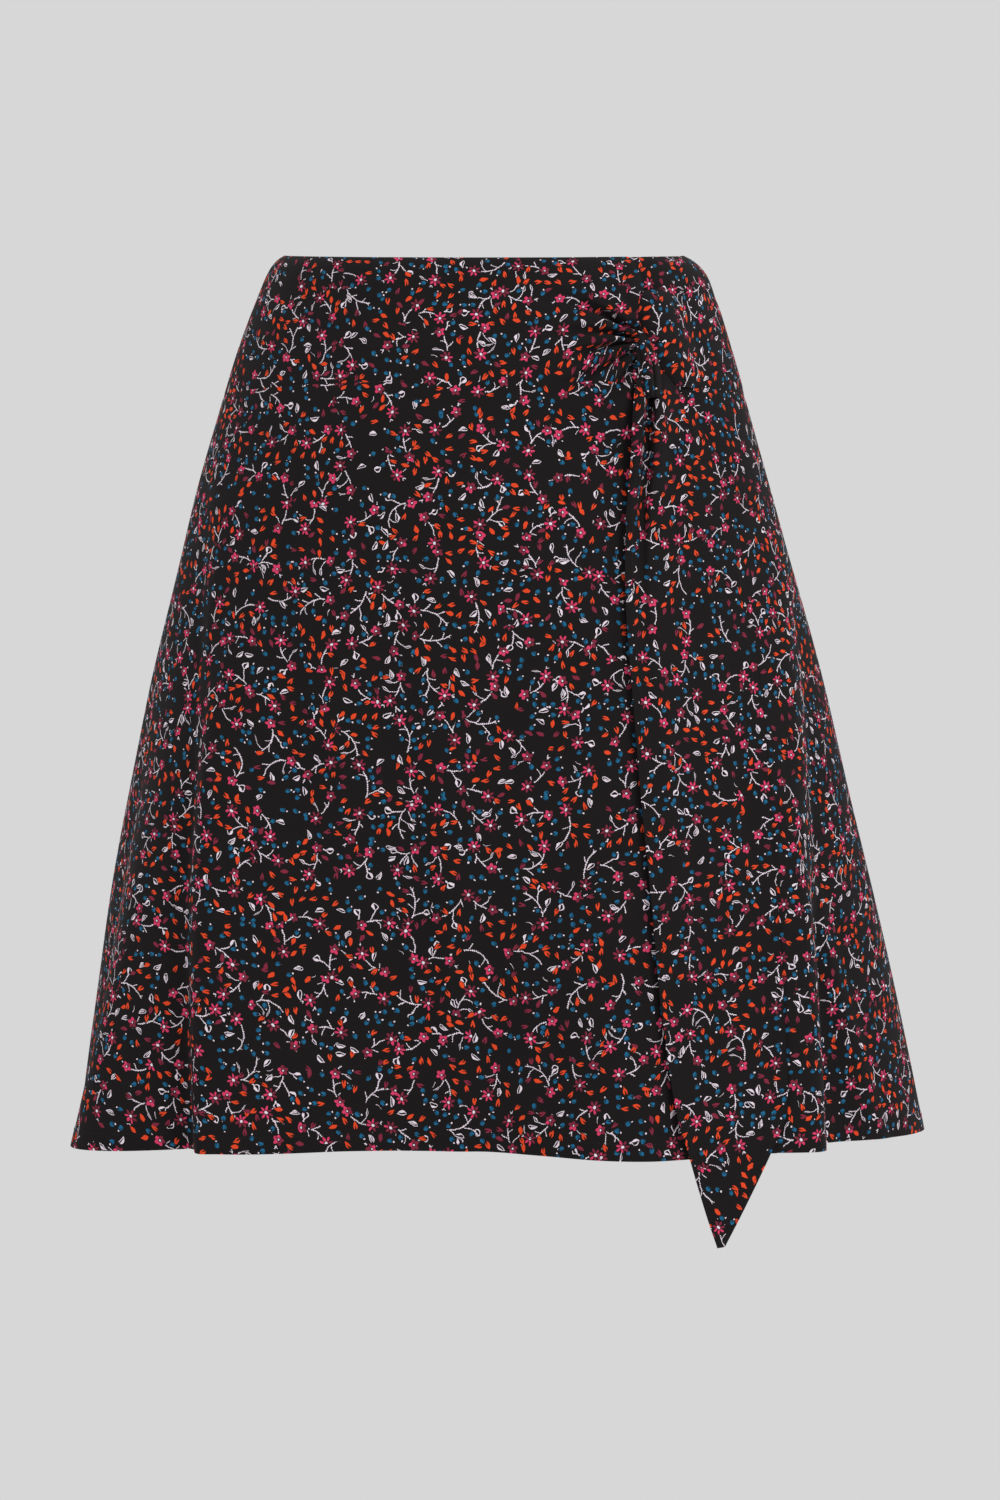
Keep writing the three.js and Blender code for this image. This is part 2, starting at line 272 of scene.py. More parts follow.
# direction near the knot and at the far end (degrees above level), length, cut as a share of the
# rise, cut in its own right (mm), half width (degrees)
TROUGHS = [
    (72, 66, 38, 0.55, 0.4, 11),
    (41, 25, 92, 0.95, 2.2, 9.0),
    (22, 3, 56, 0.9, 1.2, 8.5),
    (1, -19, 50, 0.95, 1.2, 9.0),
    (-33, -37, 116, 0.75, 2.0, 7.5),
    (-54, -63, 56, 0.9, 1.4, 9.0),
    (-9, -8, 100, 0.15, 1.2, 6.0),
    (12, 13, 18, 0.8, 0.8, 7.0),
    (-20, -24, 20, 0.8, 0.8, 7.0),
    (54, 50, 18, 0.7, 0.8, 7.0),
]


def gathers(across, depth):
    """How far the cloth left of the knot stands off the form."""
    left = KNOT_ACROSS - across
    up = KNOT_DEPTH - depth
    reach = np.hypot(left, up)
    slope = np.degrees(np.arctan2(up, np.clip(left, 0, None) + PAST_KNOT))
    rise = GATHER_RISE * hump(reach, GATHER_REACH, GATHER_REACH)
    height = rise
    for near, far, length, share, own, width in TROUGHS:
        q = np.clip(reach / (length * MM), 0, 1)
        middle = near + (far - near) * q
        fade = (1 - q) ** 0.55 * np.clip(reach / TROUGH_START, 0, 1)
        valley = hump(slope - middle, width, width)
        height = height - (share * rise + own * MM) * fade * valley
    sink = smooth_step(left, SINK_FROM, SINK_TO)
    return np.maximum(height, LOWEST) * np.maximum(sink, REST)


def wrap_lift(station, depth):
    """The lift of the wrap and its yoke: flat on the form, and gathered near the knot."""
    flat = cloth_point(station, depth)
    front = np.abs(station) < RIGHT_SEAM - 1
    return np.where(front, gathers(flat[..., 0], depth), 0.0)


def under_lift(edge):
    """Cloth under the wrap lies one layer inside the form, and rises to it just past the edge."""
    rise_from, rise_to = edge + 1, edge + 10  # degrees
    return lambda station, depth: -LAYER * (1 - smooth_step(station, rise_from, rise_to))


def on_form(station, depth):
    """Cloth with nothing under it follows the form."""
    return np.zeros_like(station)


# %% [markdown]
# ## From points to cloth
# A sheet starts as a grid of points. Its two faces are that grid moved half a thickness each way
# along its own normals, and strips close the four edges, so the shell is watertight and the light
# catches a real edge. Each point also keeps its place on the flat cloth, measured along the rows:
# the print is drawn on that map, so it narrows where the cloth turns away, as a real print does.
# Each panel takes its place on the map from its yoke, and the tie from the front that it lies on, so
# the print runs on across those edges. That is a choice: a real skirt is rarely cut with such care.

# %% The shell maker
CLOTH = 0.7 * MM  # as thick as it takes for a clean edge; the real cloth is about 0.3 mm


def grid_normals(points):
    rows = np.gradient(points, axis=0)
    columns = np.gradient(points, axis=1)
    normal = np.cross(rows, columns)
    return normal / np.linalg.norm(normal, axis=-1, keepdims=True)


def flat_map(points, middle, corner):
    """Each point's place on the flat cloth: metres from the middle column, and metres down."""
    steps = np.linalg.norm(np.diff(points, axis=1), axis=-1)
    across = np.concatenate([np.zeros((len(points), 1)), np.cumsum(steps, axis=1)], axis=1)
    across = across - across[:, [middle]]
    drops = np.linalg.norm(np.diff(points, axis=0), axis=-1)
    down = np.concatenate([np.zeros((1, points.shape[1])), np.cumsum(drops, axis=0)])
    return np.stack([across + corner[0], corner[1] - down], axis=-1)


LAID = {}  # for each piece of the form: its stations, its depths and its flat map


def print_at(name, station, depth):
    """The place on a piece's flat map at a station and a depth, between its grid points."""
    stations, depths, flat = LAID[name]
    column = np.interp(station, stations, np.arange(len(stations)))
    row = np.interp(depth, depths, np.arange(len(depths)))
    left = np.minimum(column.astype(int), len(stations) - 2)
    above = np.minimum(row.astype(int), len(depths) - 2)
    over, down = (column - left)[..., None], (row - above)[..., None]
    upper = flat[above, left] * (1 - over) + flat[above, left + 1] * over
    lower = flat[above + 1, left] * (1 - over) + flat[above + 1, left + 1] * over
    return upper * (1 - down) + lower * down


def laid_on_front(points, station, depth):
    """The flat map of the tie where it lies on the right front: the print runs on at its right edge."""
    yoke = print_at("front_under_yoke", station, depth)
    skirt = print_at("front_under_panel", station, depth)
    below = np.where((depth < YOKE_DEPTH)[..., None], yoke, skirt)
    steps = np.linalg.norm(np.diff(points, axis=1), axis=-1)
    across = np.concatenate([np.zeros((len(points), 1)), np.cumsum(steps, axis=1)], axis=1)
    across = below[:, -1:, 0] + across - across[:, -1:]
    down = below[..., 1] - np.maximum(depth - HEM, 0)
    return np.stack([across, down], axis=-1)


def shell(name, points, flat, thickness=CLOTH):
    """A thin closed shell round a grid of points. Face material 0 is the outside, 1 the inside."""
    rows, columns = points.shape[:2]
    half = grid_normals(points) * thickness / 2
    vertices = np.concatenate([(points + half).reshape(-1, 3), (points - half).reshape(-1, 3)])
    index = np.arange(rows * columns).reshape(rows, columns)
    a, b, c, d = index[:-1, :-1], index[1:, :-1], index[1:, 1:], index[:-1, 1:]
    outside = np.stack([a, b, c, d], axis=-1).reshape(-1, 4)
    inside = outside[:, ::-1] + rows * columns
    strips = []
    for line, flip in ((index[:, 0], 1), (index[:, -1], 0), (index[0], 0), (index[-1], 1)):
        far = line + rows * columns
        strip = np.stack([line[:-1], line[1:], far[1:], far[:-1]], axis=-1)
        strips.append(strip[:, ::-1] if flip else strip)
    faces = np.concatenate([outside, inside, *strips])
    mesh = bpy.data.meshes.new(name)
    mesh.from_pydata(vertices.tolist(), [], faces.tolist())
    mesh.shade_smooth()
    on_edge = np.zeros((2, rows, columns), bool)
    on_edge[:, [0, -1]] = on_edge[:, :, [0, -1]] = True
    ends = np.empty(len(mesh.edges) * 2, np.int32)
    mesh.edges.foreach_get("vertices", ends)
    near, far = ends.reshape(-1, 2).T
    same_face = (near < rows * columns) == (far < rows * columns)
    sharp = on_edge.ravel()[near] & on_edge.ravel()[far] & same_face
    mesh.attributes.new("sharp_edge", "BOOLEAN", "EDGE").data.foreach_set("value", sharp)
    which = np.zeros(len(faces), np.int32)
    which[len(outside) : len(outside) + len(inside)] = 1
    mesh.polygons.foreach_set("material_index", which)
    loops = np.empty(len(mesh.loops), np.int32)
    mesh.loops.foreach_get("vertex_index", loops)
    places = np.concatenate([flat.reshape(-1, 2)] * 2)[loops]
    mesh.uv_layers.new(name="Flat cloth").data.foreach_set("uv", places.ravel())
    made = bpy.data.objects.new(name, mesh)
    bpy.context.collection.objects.link(made)
    return made


PIECES = {}  # every finished piece of cloth, by the name of the wall it stands for
FACES = {}  # the grid of its outer face, for what is sewn along it


def keep(name, points, flat, thickness=CLOTH):
    made = shell("cloth_" + name, points, flat, thickness)
    PIECES[name] = made
    FACES[name] = points + grid_normals(points) * thickness / 2


# %% [markdown]
# ## Panels and yoke
# The panels are cut flared and hang from the yoke. Every wall is a stretch of the form between two
# stations and two depths, so one function makes them all. The seam under the yoke is a shallow
# groove, and the turned hem is a little fuller than the single cloth above it.

# %% Panels and yoke pieces
HEM_TURN = 12 * MM  # depth of the turned hem
HEM_FULL, HEM_START = 0.35 * MM, 1.5 * MM  # how much fuller it is, and how softly that begins
GROOVE, GROOVE_HALF = 0.3 * MM, 2.5 * MM  # depth and half width of the dent along a row of sewing
EDGE_SAMPLES = 400  # points by which a panel's lower edge is measured


def finish_lift(depth, bottom):
    """The groove at the yoke seam, and the fuller cloth of the turned hem."""
    seam = -GROOVE * hump(depth - YOKE_DEPTH, GROOVE_HALF, GROOVE_HALF)
    turned = 0.0
    if bottom == HEM:
        turned = HEM_FULL * smooth_step(depth, HEM - HEM_TURN - HEM_START, HEM - HEM_TURN)
        turned = turned - GROOVE * hump(depth - (HEM - HEM_TURN), GROOVE_HALF, GROOVE_HALF)
    return seam + turned


def panel(name, first, last, top, bottom, lift, corner, step):
    """One piece of the form. Its corner is a place on the map, or the yoke whose map it carries on."""
    samples = np.linspace(first, last, EDGE_SAMPLES)
    edge = cloth_point(samples, bottom)
    long = np.linalg.norm(np.diff(edge, axis=0), axis=1)
    steps = int(long.sum() / step)
    travelled = np.concatenate([[0], np.cumsum(long)]) / long.sum()
    even = np.interp(np.linspace(0, 1, steps + 1), travelled, samples)
    # halfway between even steps along the edge and even steps of station
    stations = 0.5 * even + 0.5 * np.linspace(first, last, steps + 1)
    depths = np.linspace(top, bottom, int((bottom - top) / step) + 1)
    station, depth = np.meshgrid(stations, depths)
    points = cloth_point(station, depth, lift(station, depth) + finish_lift(depth, bottom))
    centre = 0 if first < 0 else 180  # the station of the centre front, or of the centre back
    middle = int(np.argmin(np.abs(stations - centre)))
    if corner in LAID:
        seam = print_at(corner, stations, np.full(len(stations), top))
        corner = tuple(seam[middle])
    flat = flat_map(points, middle, corner)
    LAID[name] = (stations, depths, flat)
    keep(name, points, flat)


# piece, first and last station, lift off the form, corner of its map (metres), facet (mm)
YOKES = [
    ("back_yoke", RIGHT_SEAM, BACK_SEAM, on_form, (4.11, 3.2), 2.2),
    ("front_under_yoke", UNDER_EDGE, RIGHT_SEAM, under_lift(OVER_YOKE_EDGE), (5.7, 2.2), 2),
    ("front_over_yoke", LEFT_SEAM, OVER_YOKE_EDGE, wrap_lift, (6.23, 4.15), 1),
]
# piece, first and last station, lift off the form, the yoke whose map it carries on, facet (mm)
PANELS = [
    ("back_panel", RIGHT_SEAM, BACK_SEAM, on_form, "back_yoke", 3.4),
    ("front_under_panel", UNDER_EDGE, RIGHT_SEAM, under_lift(OVER_EDGE), "front_under_yoke", 3),
    ("front_over_panel", LEFT_SEAM, OVER_EDGE, wrap_lift, "front_over_yoke", 2.4),
]
for name, first, last, lift, corner, facet in YOKES:
    panel(name, first, last, 0, YOKE_DEPTH, lift, corner, facet * MM)
for name, first, last, lift, corner, facet in PANELS:
    panel(name, first, last, YOKE_DEPTH, HEM, lift, corner, facet * MM)

# %% [markdown]
# ## The tie
# The tie comes round from the right side as a flat band, is gathered into the knot, and drops as a
# tail with a slanted end. A pleat stays in the tail where the knot squeezes it and opens out lower
# down. The loop of the knot arches over both and turns under at its lower edge.

# %% The tail
# depth below the waist, left edge, right edge, lift off the skirt, depth of the pleat
TAIL = MM * np.array([
    (62, 95, 106, 6, 0),
    (70, 93.5, 108, 8, 0.5),
    (78, 92, 111, 9.5, 1.5),
    (86, 90, 114.5, 10, 4),
    (94, 88.5, 118, 9.8, 6.5),
    (104, 87.6, 123, 9.4, 8.2),
    (114, 87, 130, 8.8, 8.4),
    (126, 86.5, 138, 8, 7.6),
    (142, 85.5, 146, 6.8, 6.2),
    (170, 83, 151.5, 5.8, 4),
    (218, 82.5, 158, 5, 1.6),
    (277, 86.5, 164.5, 5, 0.4),
    (335, 91, 168.5, 5, 0),
    (393, 96.5, 172, 5, 0),
    (450, 101.5, 174.5, 5, 0),
    (500, 108, 176, 5, 0),
    (520, 112, 174.5, 5, 0),
    (534, 116.5, 168.5, 5, 0),
    (550, 121, 160.5, 5, 0),
    (572, 127.5, 148.5, 5, 0),
    (590, 133.5, 138, 5, 0),
])
# place across the tail from its left edge (mm), height as a share of the pleat, half width (mm)
PLEATS = [(3.4, 0.3, 4.2), (9.8, -1.0, 4.6), (16.5, 0.3, 6), (29, -0.22, 9)]
# place as a share of the width, top depth, bottom depth, height, half width (mm)
TAIL_CREASES = [
    (0.5, 140, 300, -1.6, 13),
    (0.22, 200, 420, 1.2, 10),
    (0.34, 300, 545, -1.3, 12),
    (0.74, 330, 545, 1.2, 13),
]
EDGE_DROP = 0.78  # the share of its lift that is gone at its right edge
EDGE_CURVE = 1.5  # above 1, so it drops most near that edge
TAIL_CLEAR = 1.3 * MM  # it lies no closer than this to the form of the skirt


def tail_points(rows, columns):
    depths = TAIL[0, 0] + (TAIL[-1, 0] - TAIL[0, 0]) * np.linspace(0, 1, rows)
    row = between(TAIL, depths)[:, None, :]
    share = np.linspace(0, 1, columns)[None, :]
    depth, left, right, lift, pleat = (row[..., i] for i in range(5))
    across = left + (right - left) * share
    depth = np.broadcast_to(depth, across.shape)
    lift = lift * (1 - EDGE_DROP * share**EDGE_CURVE)
    for place, height, width in PLEATS:
        distance = across - left - place * MM
        lift = lift + height * pleat * hump(distance, width * MM, width * MM)
    for place, top, bottom, height, width in TAIL_CREASES:
        q = (depth - top * MM) / ((bottom - top) * MM)
        fade = smooth_step(q, 0, 0.3) * (1 - smooth_step(q, 0.7, 1))
        distance = (share - place) * (right - left)
        lift = lift + height * MM * fade * hump(distance, width * MM, width * MM)
    lift = np.maximum(lift, TAIL_CLEAR)
    station = station_at(across, depth, lift)
    points = cloth_point(station, depth, lift)
    return points, laid_on_front(points, station, depth)


keep("tie_tail", *tail_points(rows=250, columns=72))

# %% The band from the right side
# station, top edge, bottom edge
BAND = np.array([
    (36.3, 39, 62),
    (36.9, 32.5, 68),
    (38.2, 28, 73),
    (40.5, 25, 79),
    (44, 23.3, 86.5),
    (48, 22.8, 88.5),
    (55, 23.2, 88.5),
    (66, 24.2, 88.5),
    (78, 25, 88.5),
    (90, 25, 88.5),
])
BAND_LIFT = 0.8  # mm off the yoke, at the side
PUFF, PUFF_STATION = 10.0, 41  # mm more where its gathered end swells, and the station of that
PUFF_LEFT, PUFF_RIGHT = 5.6, 17  # degrees that the swelling reaches each way
# the share of its height that its long edges lose, at the knot, and how much more that is at the
# side: past 1 in all, so there they are sunk into the yoke, which hides them
TUCK, TUCK_MORE, TUCK_FROM, TUCK_TO = 0.62, 0.85, 46, 58
START_LEFT, START_UP = 8 * MM, 4 * MM  # its troughs run from a point this far from the knot's middle
BAND_TROUGH_START = 6 * MM  # a trough has its full depth this far from that point
BAND_PAST = 3 * MM  # what PAST_KNOT is to the wrap
# direction from the knot (degrees above level), length, depth, half width (degrees)
BAND_TROUGHS = [(48, 26, 2.6, 12), (14, 40, 2.2, 8), (-16, 30, 2.8, 9), (-40, 44, 2.4, 8)]


def band_points(rows, columns):
    stations = BAND[0, 0] + (BAND[-1, 0] - BAND[0, 0]) * np.linspace(0, 1, columns) ** 1.5
    row = between(BAND, stations)[None, :, :]
    share = np.linspace(0, 1, rows)[:, None]
    station, top, bottom = (row[..., i] for i in range(3))
    depth = (top + (bottom - top) * share) * MM
    station = np.broadcast_to(station, depth.shape)
    height = BAND_LIFT + PUFF * hump(station - PUFF_STATION, PUFF_LEFT, PUFF_RIGHT)
    tuck = TUCK + TUCK_MORE * smooth_step(station, TUCK_FROM, TUCK_TO)
    height = height * (1 - tuck * np.abs(2 * share - 1) ** 5)
    across = cloth_point(station, depth)[..., 0] - KNOT_ACROSS + START_LEFT
    up = KNOT_DEPTH - START_UP - depth
    reach = np.hypot(across, up)
    slope = np.degrees(np.arctan2(up, np.clip(across, 0, None) + BAND_PAST))
    for direction, length, deep, width in BAND_TROUGHS:
        fade = np.clip(1 - reach / (length * MM), 0, 1) ** 0.7
        fade = fade * np.clip(reach / BAND_TROUGH_START, 0, 1)
        height = height - deep * fade * hump(slope - direction, width, width)
    points = cloth_point(station, depth, height * MM)
    return points, laid_on_front(points, station, depth)


keep("tie_band", *band_points(rows=90, columns=150))

# %% The knot's loop
# depth below the waist, place across, half width, height of its crown over the skirt
LOOP = MM * np.array([
    (52, 90.5, 3.4, 5.0),
    (56, 92.0, 4.8, 8.5),
    (62, 93.8, 6.0, 11.6),
    (70, 95.6, 6.8, 13.6),
    (80, 97.0, 7.0, 14.6),
    (88, 97.8, 6.6, 14.6),
    (93, 98.0, 6.0, 13.6),
    (95.6, 98.0, 5.5, 11.4),
    (96.4, 98.0, 5.1, 7.5),
])
# place across it (a share of its half width), height (mm), half width (the same kind of share)
LOOP_CREASES = [(-0.5, -1.6, 0.22), (0.02, 0.9, 0.2), (0.36, -1.7, 0.22)]
LOOP_TURN = 84  # degrees that it arches each way from its crown
LEFT_FLANK, RIGHT_FLANK = 10 * MM, 6 * MM  # from its crown down to its tucked-in sides
FULL_FLANK = 12 * MM  # where the crown is lower than this, so are the flanks
LOOP_CLOTH = 0.9 * MM  # a little thicker than a single cloth


def loop_points(rows, columns):
    along = np.linspace(0, 1, rows)
    key = np.linspace(0, 1, len(LOOP))
    row = between(np.column_stack([key, LOOP]), along)[:, None, 1:]
    depth, across, half, crown = (row[..., i] for i in range(4))
    turn = np.linspace(-1, 1, columns)[None, :] * math.radians(LOOP_TURN)
    share = np.sin(turn)
    flank = np.where(share < 0, LEFT_FLANK, RIGHT_FLANK)
    lift = crown - flank * (1 - np.cos(turn)) * smooth_step(crown, 0, FULL_FLANK)
    for place, height, width in LOOP_CREASES:
        fade = np.sin(math.pi * along)[:, None]
        lift = lift + height * MM * hump(share - place, width, width) * fade
    across = across + half * share
    depth = np.broadcast_to(depth, across.shape)
    points = cloth_point(station_at(across, depth, lift), depth, lift)
    return points, flat_map(points, columns // 2, (9.3, 3.6))


keep("tie_knot", *loop_points(rows=80, columns=40), thickness=LOOP_CLOTH)

# %% [markdown]
# ## Helpers for materials
# A material is a circuit of nodes. One small function adds a node, sets it up and links it. A print
# needs a lot of arithmetic, and arithmetic drawn as boxes is hard to read. So it is written here as
# plain lines of sums, and one translator walks through each line and adds a Math node for every sign
# in it. The motifs below can then be read, and changed, like formulas.

# %% Colours and nodes
def colour(text):
    """An sRGB hex colour as the linear numbers that Blender works in."""
    parts = [int(text[i : i + 2], 16) / 255 for i in (1, 3, 5)]
    return tuple(c / 12.92 if c <= 0.04045 else ((c + 0.055) / 1.055) ** 2.4 for c in parts) + (1.0,)


def add(tree, kind, links=None, **settings):
    """Adds a node. A socket given for an input is linked to it, anything else becomes its value."""
    made = tree.nodes.new(kind)
    for name, value in settings.items():
        setattr(made, name, value)
    for name, value in (links or {}).items():
        if isinstance(value, bpy.types.NodeSocket):
            tree.links.new(value, made.inputs[name])
        else:
            made.inputs[name].default_value = value
    return made


# %% Sums written as text
SIGNS = {
    "Add": "ADD", "Sub": "SUBTRACT", "Mult": "MULTIPLY", "Div": "DIVIDE", "Mod": "FLOORED_MODULO",
    "Lt": "LESS_THAN", "Gt": "GREATER_THAN", "And": "MULTIPLY", "Or": "MAXIMUM",
    "sqrt": "SQRT", "sin": "SINE", "cos": "COSINE", "atan2": "ARCTAN2", "abs": "ABSOLUTE",
    "floor": "FLOOR", "fract": "FRACT", "sign": "SIGN",
}


def sums(tree, lines, **wires):
    """Adds the Math nodes for some lines of sums. Returns every named result by its name."""

    def join(sign, parts):
        result = parts[0]
        for part in parts[1:]:
            made = add(tree, "ShaderNodeMath", {0: result, 1: part}, operation=SIGNS[sign])
            result = made.outputs[0]
        return result

    def wire(part):
        kind = type(part).__name__
        if kind == "Constant":
            return float(part.value)
        if kind == "Name":
            return wires[part.id]
        if kind == "UnaryOp":  # a minus sign, the only one that the sums use
            return join("Mult", [wire(part.operand), -1.0])
        if kind == "BinOp":
            return join(type(part.op).__name__, [wire(part.left), wire(part.right)])
        if kind == "BoolOp":
            return join(type(part.op).__name__, [wire(value) for value in part.values])
        if kind == "Compare":
            ends = [wire(end) for end in [part.left, *part.comparators]]
            tests = [join(type(op).__name__, ends[i : i + 2]) for i, op in enumerate(part.ops)]
            return join("And", tests)
        given = dict(enumerate(wire(value) for value in part.args))
        return add(tree, "ShaderNodeMath", given, operation=SIGNS[part.func.id]).outputs[0]

    for line in ast.parse(textwrap.dedent(lines)).body:
        wires[line.targets[0].id] = wire(line.value)
    return wires


# %% [markdown]
# ## The print
# The cloth is woven plain and printed: a near-black ground with sprays of beaded white stems, each
# with flowers in two pinks, and orange leaves, pale outlined leaves and blue buds with a white dot
# each. There are thousands of motifs, so none is drawn singly. The flat cloth is divided into random
# cells. A wide cell holds one spray: a curved stem in its own direction, with twigs and up to two
# flowers. A small cell holds one leaf or bud, or nothing. It asks which spray it lies beside, points
# away from that stem, and stays empty where it would lie on the stem or on a flower.

# %% Print colours, and sizes in millimetres of cloth
GROUND = "#1c1819"
PINK, CRIMSON = "#e0426c", "#862c41"
ORANGE = "#ec4c28"
PALE = "#f4e6f1"
BLUE, BLUE_DARK = "#216a92", "#195270"
VEIL = "#3a3334"  # the ground as it shows on the wrong side
SPRAY_CELL = 25.5
SMALL_CELL = 6.5


def cells(tree, place, size, randomness):
    """Divides the cloth into random cells. Gives the cell's middle and its three random numbers."""
    scaled = add(tree, "ShaderNodeVectorMath", {0: place, "Scale": 1 / size}, operation="SCALE")
    voronoi = add(
        tree, "ShaderNodeTexVoronoi",
        {"Vector": scaled.outputs[0], "Scale": 1.0, "Randomness": randomness},
        voronoi_dimensions="2D", feature="F1",
    )
    middle = add(
        tree, "ShaderNodeVectorMath", {0: voronoi.outputs["Position"], "Scale": size}, operation="SCALE"
    )
    random = add(tree, "ShaderNodeSeparateColor", {0: voronoi.outputs["Color"]})
    return middle.outputs[0], list(random.outputs)


def seen_from(tree, middle, turn, place):
    """A place measured from a cell's middle, along and across the cell's own direction."""
    offset = add(tree, "ShaderNodeVectorMath", {0: place, 1: middle}, operation="SUBTRACT")
    turned = add(
        tree, "ShaderNodeVectorRotate", {"Vector": offset.outputs[0], "Angle": turn},
        rotation_type="Z_AXIS",
    )
    split = add(tree, "ShaderNodeSeparateXYZ", {0: turned.outputs[0]})
    return split.outputs[0], split.outputs[1]


# %% A spray: its stem is an arc, and places are measured along it and out from it
def spray_at(tree, place):
    middle, (first, second, third) = cells(tree, place, SPRAY_CELL, 0.6)
    turn = sums(tree, "turn = first * 6.2832", first=first)["turn"]
    x, y = seen_from(tree, middle, turn, place)
    return sums(
        tree,
        """
        flip = sign(second - 0.5)
        v = y * flip
        bend = third * 9 + 11
        centre = bend - v
        out = bend - sqrt(x * x + centre * centre)
        along = atan2(x, centre) * bend
        late = x > 0 - 1.2
        flower_x = late * 16.4 - 9.6
        near_x = x - flower_x
        near_y = v - flower_x * flower_x / (bend * 1.9)
        reach = sqrt(near_x * near_x + near_y * near_y)
        there = fract(second * 7 + late * 0.37) < 0.93 - late * 0.08
        """,
        x=x, y=y, turn=turn, first=first, second=second, third=third,
    )


STEM_AND_TWIGS = """
bead = sin(along * 5.4) * 0.17 + 0.27
stem = abs(out) < bead and abs(along + 0.4) < 13.4
side = sign(out)
step = along / 7.6 + side * 0.25
number = floor(step)
chance = fract(sin(number * 12.9 + side * 4.1 + first * 37) * 43.7)
far = abs(out)
from_twig = (step - number) * 7.6 - 1.4 - far * 0.95 + far * far * 0.06
tip = chance * 4.6 + 1.4
twig = abs(from_twig) < 0.27 + sin(far * 5.4) * 0.15 and far < tip and chance > 0.24
stems = (stem or twig and abs(along) < 12)
leaf_x = (from_twig * 0.3 + (far - tip) * 1.2) - 2.7
leaf_y = from_twig * 0.8
leaf = abs(leaf_y) - (1 - leaf_x * leaf_x / 7.8) * 1.05
hollow = leaf < -0.4 and leaf_y > -0.25
sprouts = leaf < 0 and (1 - hollow) and chance > 0.72 and abs(along) < 12
"""

FLOWER = """
daisy = fract(second * 13 + late * 0.5) > 0.52
petals = daisy * 2 + 5
sector = 6.2832 / petals
around = atan2(near_y, near_x) + 3.1416
fold = around % sector - sector / 2
outward = (reach * cos(fold) - daisy * 0.8 - 1.75) / 1.4
sideways = reach * sin(fold) / (1.05 - daisy * 0.4)
petal = outward * outward + sideways * sideways < 1 and reach > 1.05 and there
lit = cos(floor(around / sector) * sector + first * 9) > third * 1.9 - 0.95
eye = reach < 0.55 + daisy * 0.3 and there
clear = reach < 3.6 + daisy * 0.7 and there
"""

# %% Leaves and buds
SMALL_MOTIF = """
kind = pick * 0.55 + fract(first * 5 + (out > 0) * 0.43) * 0.45
free = (1 - (reach < 5.6 and there)) * (1 - (abs(out) < 2 and abs(along + 0.6) < 12))
"""

LEAF_OR_BUD = """
leaf = abs(y) - (1 - x * x / 7) * (x * 0.14 + 1) * 1.16
slit = abs(y + 0.2 - vary * 0.5) < x * 0.2 + 0.14 and x > -0.9 and vary > 0.25
orange_clear = leaf < 0.55
orange = leaf < 0 and (1 - slit)
pale_leaf = abs(y + x * x * 0.08 - 0.2) - (1 - x * x / 9.2) * (1 + x * 0.12) * 1.3
pale_rib = abs(y - 0.1) < 0.24 and abs(x + 0.4) < 1.7
pale_clear = pale_leaf < 0.5
pale = (pale_leaf < 0 and (pale_leaf > -0.4 or y > vary * 0.9) or pale_rib and vary > 0.5)
round = sqrt(x * x + y * y)
notch = x > 0.35 and abs(y) < x * 0.3 - 0.05
bud = sqrt(x * x + y * y * 1.4) < 1.5 + x * 0.14 and (1 - notch)
dot_x = x - 2.6
dot = dot_x * dot_x + y * y < 0.25
bud_clear = round < 2.3
"""


# %% The print as one group of nodes
def paint(tree, layers):
    """Prints inks over each other, each where its own mask is 1."""
    ink = layers[0]
    for mask, above in layers[1:]:
        ink = add(tree, "ShaderNodeMix", {0: mask, 6: ink, 7: above}, data_type="RGBA").outputs[2]
    return ink


